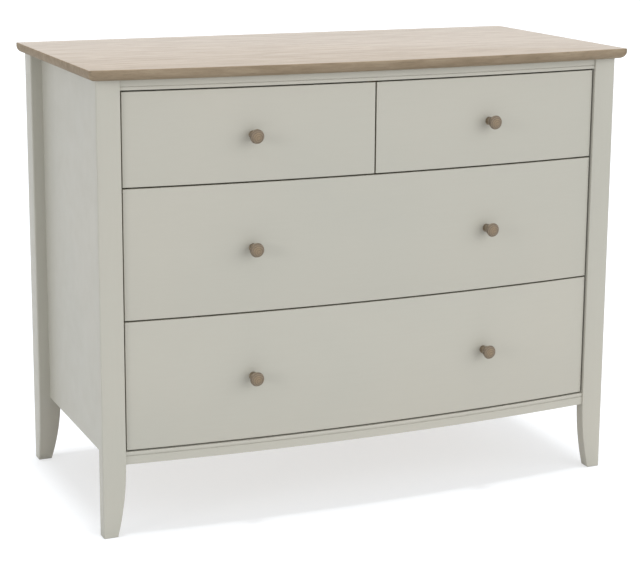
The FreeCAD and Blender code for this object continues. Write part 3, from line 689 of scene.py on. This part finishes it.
def bowed_top(finish, edge_shade_finish):
    """The top board: a bowed front, a quarter-round under the edges that show, and eased top edges."""
    low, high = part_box("top_panel")
    radius = (high.x**2 + TOP_BOW_RISE**2) / (2 * TOP_BOW_RISE)
    axis_y = low.y + radius
    reach = math.asin(high.x / radius)
    piece = section("oak_top_board", low.y, low.y + TOP_SWEPT_DEPTH, low.z, high.z)
    sweep(piece, low.x, high.x, TOP_FACETS, radius, axis_y)
    edit(piece)
    for side in (-1, 1):
        pick("VERT", lambda v: side * math.atan2(v.co.x, axis_y - v.co.y) > reach - TOP_END_TURN)
        flatten(X, side * high.x)
    pick("VERT", lambda v: from_axis(v.co, axis_y) < radius - TOP_SWEPT_DEPTH / 2)
    flatten(Y, high.y)
    bpy.ops.mesh.select_all(action="SELECT")
    bpy.ops.mesh.dissolve_limited(angle_limit=math.radians(FLAT_ANGLE))
    pick("EDGE", lambda e: in_plane(e, Z, low.z) and not in_plane(e, Y, high.y))
    bevel(TOP_ROUND, segments=10)
    pick("EDGE", lambda e: in_plane(e, Z, high.z))
    bevel(TOP_ARRIS, segments=3)
    done()
    # the edges and underside take the darker copy of the oak, painted shade
    finish_piece(
        piece, "top_panel", "case", finish,
        edge_shade_finish=edge_shade_finish, is_shaded_edge=lambda f: f.normal.z < TOP_FACE_NORMAL,
    )


def taper(axis, face, inset):
    """Curves a leg's face in below the case, from upright at the base's height to `inset` at the floor."""
    depth = abs(inset)
    radius = (BASE_HEIGHT**2 + depth**2) / (2 * depth)
    for step in range(TAPER_STEPS):
        level = BASE_HEIGHT * step / TAPER_STEPS
        shift = radius - math.sqrt(radius**2 - (BASE_HEIGHT - level) ** 2)
        pick("VERT", lambda v: near(v.co[axis], face) and near(v.co.z, level, LEVEL_REACH))
        bpy.ops.transform.translate(value=along(axis, math.copysign(shift, inset)))


def tapered_leg(name, node, finish):
    """A leg: straight outside, curved in below the case, with eased upright edges and a chamfered sole."""
    low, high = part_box(node)
    side = math.copysign(1, low.x)
    inner, outer = (low.x, high.x) if side > 0 else (high.x, low.x)
    rear = high.y > 0
    inset = abs(outer - inner) - FOOT_WIDTH
    piece = board(name, low, high)
    edit(piece)
    for step in range(TAPER_STEPS, 0, -1):
        score(Z, BASE_HEIGHT * step / TAPER_STEPS)
    taper(X, inner, side * inset)
    if rear:
        taper(Y, low.y, inset)
    pick("EDGE", lambda e: in_plane(e, Z, low.z))
    bevel(FOOT_CHAMFER, segments=1)
    pick("EDGE", lambda e: is_eased(e, rear, outer, high.y) and beside(e, outer))
    bevel(LEG_ARRIS, segments=5)
    pick("EDGE", lambda e: is_eased(e, rear, outer, high.y) and not beside(e, outer))
    bevel(INNER_ARRIS, segments=3)
    done()
    if rear:
        rebate = board(
            "rebate",
            (inner - side * 2 * OVER, high.y - REBATE_DEPTH, BASE_HEIGHT),
            (inner + side * REBATE_WIDTH, high.y + OVER, high.z + OVER),
        )
        cut_with(piece, rebate)
    finish_piece(piece, node, "case", finish)


def beside(edge, outer):
    """Whether an upright edge of a leg lies on its outer side."""
    return all(near(v.co.x, outer, EASED_REACH) for v in edge.verts)


def is_eased(edge, rear, outer, back):
    """Whether an edge is one of a leg's upright edges that are eased: all but those against the case."""
    first, last = (v.co for v in edge.verts)
    run = last - first
    upright = abs(run.z) > 2 * max(abs(run.x), abs(run.y)) and abs(run.z) > SHORTEST_UPRIGHT
    behind = all(near(v.co.y, back, EASED_REACH) for v in edge.verts)
    free = not behind or (rear and beside(edge, outer))
    return upright and free and edge.calc_face_angle(0) > SHARP


def bowed_rail(name, node, finish, bead_low):
    """A front rail: bowed like the drawers, with a rounded bead behind a quirk along its drawer edge."""
    low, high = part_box(node)
    face = FRONT_PLANE + RAIL_SETBACK - BOW_RISE
    radius = BOW_AXIS_Y - face
    bead_edge = low.z + BEAD_HEIGHT if bead_low else high.z - BEAD_HEIGHT
    quirk_edge = bead_edge + QUIRK if bead_low else bead_edge - QUIRK
    quirk_middle = (bead_edge + quirk_edge) / 2
    piece = section(name, face + QUIRK, face + RAIL_SWEPT_DEPTH, low.z, high.z)
    edit(piece)
    for level in (bead_edge, quirk_edge):
        score(Z, level)
    pick("EDGE", lambda e: in_plane(e, Y, face + QUIRK) and not spans(e, quirk_middle))
    extrude((0, -QUIRK, 0))
    bead = (low.z, bead_edge) if bead_low else (bead_edge, high.z)
    pick("VERT", lambda v: near(v.co.y, face) and any(near(v.co.z, z) for z in bead))
    bpy.ops.mesh.bevel(offset=BEAD_ROUND, segments=5, affect="VERTICES")
    done()
    sweep(piece, -LEG_INNER - RAIL_SPARE, LEG_INNER + RAIL_SPARE, RAIL_FACETS, radius)
    edit(piece)
    pick("VERT", lambda v: from_axis(v.co) < radius - RAIL_SWEPT_DEPTH + EASED_REACH)
    flatten(Y, high.y)
    for side in (-1, 1):
        cut_off(X, side * LEG_INNER, side)
    done()
    finish_piece(piece, node, "case", finish)


def spans(edge, level):
    """Whether an edge crosses a level."""
    heights = sorted(v.co.z for v in edge.verts)
    return heights[0] < level < heights[1]


# Pieces of the drawers


def face_at(across):
    """Where the drawer fronts' bowed face lies at a place across the chest."""
    return BOW_AXIS_Y - math.sqrt(BOW_RADIUS**2 - across**2)


def back_at(across):
    """Where the fronts' bowed back lies at a place across the chest."""
    return BOW_AXIS_Y - math.sqrt((BOW_RADIUS - FRONT_THICKNESS) ** 2 - across**2)


def is_outer(end):
    """Whether an end of a drawer front stands beside a leg, and not in the middle of the chest."""
    return abs(end) > LAND_WIDTH


def on_face(edge):
    """Whether both ends of an edge lie on the fronts' bowed face."""
    return all(near(from_axis(v.co), BOW_RADIUS, SWEPT_REACH) for v in edge.verts)


def on_back(face, side, start):
    """Whether a face of a drawer front lies on its back, past the place where the flat land starts."""
    centre = face.calc_center_median()
    behind = from_axis(centre) < BOW_RADIUS - FRONT_THICKNESS + EASED_REACH / 2
    return behind and side * centre.x > start


def flat_land(end):
    """Makes the back of a drawer front flat behind an outer end, with a step where the bow goes on."""
    side = math.copysign(1, end)
    start = abs(end) - LAND_WIDTH
    score(X, side * start)
    pick("VERT", lambda v: near(v.co.x, end) and from_axis(v.co) < BOW_RADIUS - FRONT_THICKNESS / 2)
    flatten(Y, back_at(end))
    pick("FACE", lambda f: on_back(f, side, start))
    extrude((0, 0, 0))
    flatten(Y, back_at(end))
    bpy.ops.mesh.select_all(action="SELECT")
    bpy.ops.mesh.remove_doubles(threshold=WELD)


def inner_step(drawer, end, bottom, top):
    """What is cut off behind an inner end of a drawer front, so that its face laps the box's side."""
    inward = math.copysign(1, end)
    box_side = "side_right" if end < 0 else "side_left"
    side_low, side_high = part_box(f"{drawer}_{box_side}")
    box_end = side_high.x if end < 0 else side_low.x
    return board(
        "inner_step",
        (box_end + inward * LIP_CLEARANCE, side_low.y, bottom - OVER),
        (end - inward * LIP_PAST_END, face_at(0) + LIP_REACH, top + OVER),
    )


def bowed_front(drawer, knobs, finish, edge_shade_finish):
    """A drawer front of even thickness with eased edges, cut for the box's dovetails and bottom."""
    node = f"{drawer}_front"
    low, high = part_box(node)
    middle = face_at(0)
    facets = round((high.x - low.x) / FRONT_FACET)
    ends = [end - math.copysign(END_TRIM, end) if is_outer(end) else end for end in (low.x, high.x)]
    piece = section(f"{drawer}_bowed_front", middle, middle + FRONT_THICKNESS, low.z, high.z)
    sweep(piece, low.x - FRONT_SPARE, high.x + FRONT_SPARE, facets)
    edit(piece)
    cut_off(X, ends[0], -1)
    cut_off(X, ends[1], 1)
    for end in filter(is_outer, ends):
        flat_land(end)
    pick("EDGE", lambda e: on_face(e) and e.calc_face_angle(0) > SHARP)
    bevel(FACE_ARRIS, segments=4)
    done()
    for end in ends:
        if not is_outer(end):
            cut_with(piece, inner_step(drawer, end, low.z, high.z))
    for name in ("side_left", "side_right", "bottom"):
        cut_with(piece, welded_copy(f"{drawer}_{name}"))
    for across in knobs:
        cut_with(piece, screw_bore(across, (low.z + high.z) / 2))
    # the edges take the second finish: a darker paint that is painted shade for the gaps
    finish_piece(
        piece, node, drawer, finish,
        edge_shade_finish=edge_shade_finish, is_shaded_edge=lambda f: abs(f.normal.y) < FRONT_FACE_NORMAL,
    )


def on_bow(across, height):
    """The turn that sets a knob square to the bowed face, and its place on that face."""
    lean = math.asin(across / BOW_RADIUS)
    place = Matrix.Translation((across, face_at(across), height))
    return place @ Matrix.Rotation(lean, 4, "Z") @ Matrix.Rotation(math.pi / 2, 4, "X")


def screw_bore(across, height):
    """A round bar through a drawer front where a knob's screw passes."""
    bpy.ops.object.select_all(action="DESELECT")
    bpy.ops.mesh.primitive_cylinder_add(vertices=BORE_SIDES, radius=SCREW_HOLE, depth=BORE_LENGTH)
    bore = bpy.context.object
    bore.matrix_world = on_bow(across, height)
    settle(bore)
    return bore


def knob_outline():
    """A knob's outline, as radius and height, from the bottom of the screw hole round to the face."""
    hole = [(SCREW_HOLE, SCREW_DEPTH), (SCREW_HOLE, 0)]
    foot = [(KNOB_FOOT - FOOT_EASE, 0), (KNOB_FOOT, FOOT_EASE)]
    rim = []
    for degrees in RIM_ANGLES:
        angle = math.radians(degrees)
        radius = KNOB_RIM - RIM_ROUND + RIM_ROUND * math.cos(angle)
        rim.append((radius, RIM_HEIGHT + RIM_ROUND * math.sin(angle)))
    wide, high = rim[0]
    flare = []
    for step in range(FLARE_STEPS):
        share = step / FLARE_STEPS
        radius = KNOB_NECK + (wide - KNOB_NECK) * share**FLARE_POWER
        flare.append((radius, FLARE_START + (high - FLARE_START) * share))
    edge, shoulder = rim[-1]
    dome = [(edge * share, KNOB_HEIGHT - (KNOB_HEIGHT - shoulder) * share**2) for share in DOME_SHARES]
    return hole + foot + flare + rim + dome


def turned_knob():
    """A knob turned in one piece: a slim foot, a hollow flare, a rounded rim and a slightly domed face."""
    outline = knob_outline()
    first_radius, first_height = outline[0]
    bpy.ops.object.select_all(action="DESELECT")
    bpy.ops.mesh.primitive_circle_add(
        vertices=KNOB_SIDES, radius=first_radius, fill_type="NGON", location=(0, 0, first_height)
    )
    piece = bpy.context.object
    settle(piece)
    edit(piece)
    for (radius, height), (next_radius, next_height) in zip(outline, outline[1:]):
        grow = next_radius / radius
        extrude((0, 0, next_height - height))
        bpy.ops.transform.resize(value=(grow, grow, 1), center_override=(0, 0, 0))
    done()
    return piece


def hang_knob(knob, drawer, name, across, finish):
    """Sets a copy of the turned knob on a drawer's front."""
    node = f"{drawer}_{name}"
    low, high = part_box(node)
    piece = knob.copy()
    piece.data = knob.data.copy()
    piece.name = f"{drawer}_turned_{name}"
    bpy.context.scene.collection.objects.link(piece)
    piece.matrix_world = on_bow(across, (low.z + high.z) / 2)
    settle(piece)
    finish_piece(piece, node, drawer, finish, smooth=KNOB_SMOOTH_ANGLE)


# Floor, light and camera

# the light that the surround gives the chest
WORLD_FILL = 0.55

# the floor: its width in metres, the light that it gives back, and how it shows, which is what shade takes
# away and a white of its own that shade leaves
FLOOR_WIDTH = 60
FLOOR_BOUNCE = (0.5, 0.5, 0.5, 1)
FLOOR_SHADE = (0.43, 0.45, 0.475, 1)
FLOOR_WHITE = 0.6

# the colour of the floor's own white and of the surround
WHITE = (1, 1, 1, 1)

# the lamps: name, strength, softness, turn to the right of the front, and height, the last three in degrees
LAMPS = [
    ("right_softbox", 1.9, 75, 36, 7),
    ("left_softbox", 0.58, 18, -68, 11),
    ("rear_softbox", 0.5, 30, 172, 14),
    ("overhead_softbox", 2.3, 7, 0, 89),
]


def seen_or_mirrored(tree):
    """1 for rays from the camera and for those that gloss or glass sends on, and 0 for the rest."""
    path = tree.nodes.new("ShaderNodeLightPath")
    level = path.outputs["Is Camera Ray"]
    for ray in ("Is Glossy Ray", "Is Transmission Ray"):
        either = tree.nodes.new("ShaderNodeMath")
        either.operation = "MAXIMUM"
        tree.links.new(level, either.inputs[0])
        tree.links.new(path.outputs[ray], either.inputs[1])
        level = either.outputs[0]
    return level


def floor():
    """A plain white floor that keeps the chest's soft shadow."""
    bpy.ops.object.select_all(action="DESELECT")
    bpy.ops.mesh.primitive_plane_add(size=FLOOR_WIDTH)
    ground = bpy.context.object
    ground.name = "studio_floor"
    material = bpy.data.materials.new("studio_floor_white")
    material.use_nodes = True
    tree = material.node_tree
    tree.nodes.clear()
    output = tree.nodes.new("ShaderNodeOutputMaterial")
    lit = tree.nodes.new("ShaderNodeBsdfDiffuse")
    lit.inputs["Color"].default_value = FLOOR_BOUNCE
    shadowed = tree.nodes.new("ShaderNodeBsdfDiffuse")
    shadowed.inputs["Color"].default_value = FLOOR_SHADE
    white = tree.nodes.new("ShaderNodeEmission")
    white.inputs["Color"].default_value = WHITE
    white.inputs["Strength"].default_value = FLOOR_WHITE
    shown = tree.nodes.new("ShaderNodeAddShader")
    mix = tree.nodes.new("ShaderNodeMixShader")
    tree.links.new(shadowed.outputs[0], shown.inputs[0])
    tree.links.new(white.outputs[0], shown.inputs[1])
    tree.links.new(seen_or_mirrored(tree), mix.inputs[0])
    tree.links.new(lit.outputs[0], mix.inputs[1])
    tree.links.new(shown.outputs[0], mix.inputs[2])
    tree.links.new(mix.outputs[0], output.inputs["Surface"])
    ground.data.materials.append(material)


def world():
    """A white surround for the camera and for reflections, and a softer one for the light it gives."""
    surround = bpy.data.worlds.new("studio")
    bpy.context.scene.world = surround
    surround.use_nodes = True
    tree = surround.node_tree
    background = tree.nodes["Background"]
    background.inputs["Color"].default_value = WHITE
    strength = tree.nodes.new("ShaderNodeMapRange")
    strength.inputs["To Min"].default_value = WORLD_FILL
    strength.inputs["To Max"].default_value = 1.0
    tree.links.new(seen_or_mirrored(tree), strength.inputs["Value"])
    tree.links.new(strength.outputs["Result"], background.inputs["Strength"])


def lamps():
    """Broad soft lamps, as far off as daylight, that light the floor evenly and leave no glare."""
    for name, strength, softness, turn, height in LAMPS:
        data = bpy.data.lights.new(name, "SUN")
        data.energy = strength
        data.angle = math.radians(softness)
        lamp = bpy.data.objects.new(name, data)
        bpy.context.scene.collection.objects.link(lamp)
        turn = math.radians(turn)
        height = math.radians(height)
        level = math.cos(height)
        towards = Vector((math.sin(turn) * level, -math.cos(turn) * level, math.sin(height)))
        lamp.rotation_euler = towards.to_track_quat("Z", "Y").to_euler()
        lamp.visible_glossy = False


# the camera, fitted to the photograph's edges: its lens, its place, and its turns in radians, which are to
# the right, down, and about its own line of sight
PHOTO_WIDTH = 640
FOCAL_PIXELS = 1754.9
SENSOR_WIDTH = 36
LENS_SHIFT = -0.10
CAMERA_PLACE = (-1.2751, -2.9275, 1.1297)
CAMERA_TURN = 0.4096
CAMERA_DIP = 0.2048
CAMERA_ROLL = 0.0068


def camera():
    """The photograph's viewpoint: left of the front, a little above the top, with a long lens."""
    data = bpy.data.cameras.new("photograph")
    data.sensor_width = SENSOR_WIDTH
    data.lens = SENSOR_WIDTH * FOCAL_PIXELS / PHOTO_WIDTH
    data.shift_y = LENS_SHIFT
    eye = bpy.data.objects.new("photograph", data)
    bpy.context.scene.collection.objects.link(eye)
    level = math.cos(CAMERA_DIP)
    forward = Vector(
        (math.sin(CAMERA_TURN) * level, math.cos(CAMERA_TURN) * level, -math.sin(CAMERA_DIP))
    )
    right = Vector((math.cos(CAMERA_TURN), -math.sin(CAMERA_TURN), 0))
    up = right.cross(forward)
    across = math.cos(CAMERA_ROLL) * right + math.sin(CAMERA_ROLL) * up
    upright = math.cos(CAMERA_ROLL) * up - math.sin(CAMERA_ROLL) * right
    axes = Matrix((across, upright, -forward)).transposed().to_4x4()
    eye.matrix_world = Matrix.Translation(CAMERA_PLACE) @ axes
    bpy.context.scene.camera = eye


# Building it


def give(nodes, finish):
    """Gives a finish to CAD pieces that stay as they are."""
    for node in nodes:
        piece = frame["nodes"][node]
        if not piece.material_slots:
            piece.data.materials.append(finish)
        for slot in piece.material_slots:
            slot.material = finish


def case(upright, across):
    """The case, outside and inside, with paint brushed upright and across."""
    # the upper face's oak, and a copy for the edges and underside that is darker as painted shade, rougher
    # and without coat
    bowed_top(
        washed_oak("washed_oak", NO_PAINTED_SHADE, roughness=0.41, coat=0.4),
        washed_oak("washed_oak_edge_painted_shade", EDGE_PAINTED_SHADE, roughness=0.7, coat=0.0),
    )
    for side in ("left", "right"):
        tapered_leg(f"front_{side}_tapered_leg", f"front_leg_{side}", upright)
        tapered_leg(f"rear_{side}_tapered_leg", f"rear_leg_{side}", upright)
    bowed_rail("beaded_top_rail", "front_top_rail", across, bead_low=True)
    bowed_rail("beaded_bottom_rail", "front_bottom_rail", across, bead_low=False)
    give(["side_panel_left", "side_panel_right"], upright)
    give(["back_panel"], back_paint())
    crosswise = plain_wood("inner_wood_across", PINE, PINE_DARK, "X", roughness=0.6)
    lengthwise = plain_wood("inner_wood_fore_and_aft", PINE, PINE_DARK, "Y", roughness=0.6)
    give(["rear_top_rail", "rear_middle_rail", "rear_bottom_rail"], crosswise)
    give(["upper_drawer_rail", "lower_drawer_rail"], crosswise)
    give(["drawer_partition", "top_cleat_left", "top_cleat_right"], lengthwise)
    for place in ("top", "middle", "bottom", "centre"):
        give([f"{place}_runner_left", f"{place}_runner_right"], lengthwise)


def drawers(paint):
    """The four drawers, with the paint that their fronts share with the rails."""
    sides = plain_wood("drawer_wood_fore_and_aft", DRAWER_WOOD, DRAWER_WOOD_DARK, "Y", roughness=0.4)
    backs = plain_wood("drawer_wood_across", DRAWER_WOOD, DRAWER_WOOD_DARK, "X", roughness=0.4)
    steel = zinc()
    # the fronts' edges take a darker paint, painted shade for the gaps between them
    edges = painted_gap_shade()
    knob = turned_knob()
    for drawer, knobs in KNOBS.items():
        bowed_front(drawer, knobs.values(), paint, edges)
        for name, across in knobs.items():
            low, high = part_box(f"{drawer}_{name}")
            finish = turned_oak(f"{drawer}_{name}_oak", (low + high) / 2)
            hang_knob(knob, drawer, name, across, finish)
        give([f"{drawer}_side_left", f"{drawer}_side_right"], sides)
        give([f"{drawer}_back", f"{drawer}_bottom"], backs)
        give([f"{drawer}_knob_screws"], steel)
    bpy.data.objects.remove(knob)


bpy.context.scene.view_settings.view_transform = "Standard"
paint_upright = satin_paint("satin_paint_upright", "Z")
paint_across = satin_paint("satin_paint_across", "X")
case(paint_upright, paint_across)
drawers(paint_across)
floor()
world()
lamps()
camera()
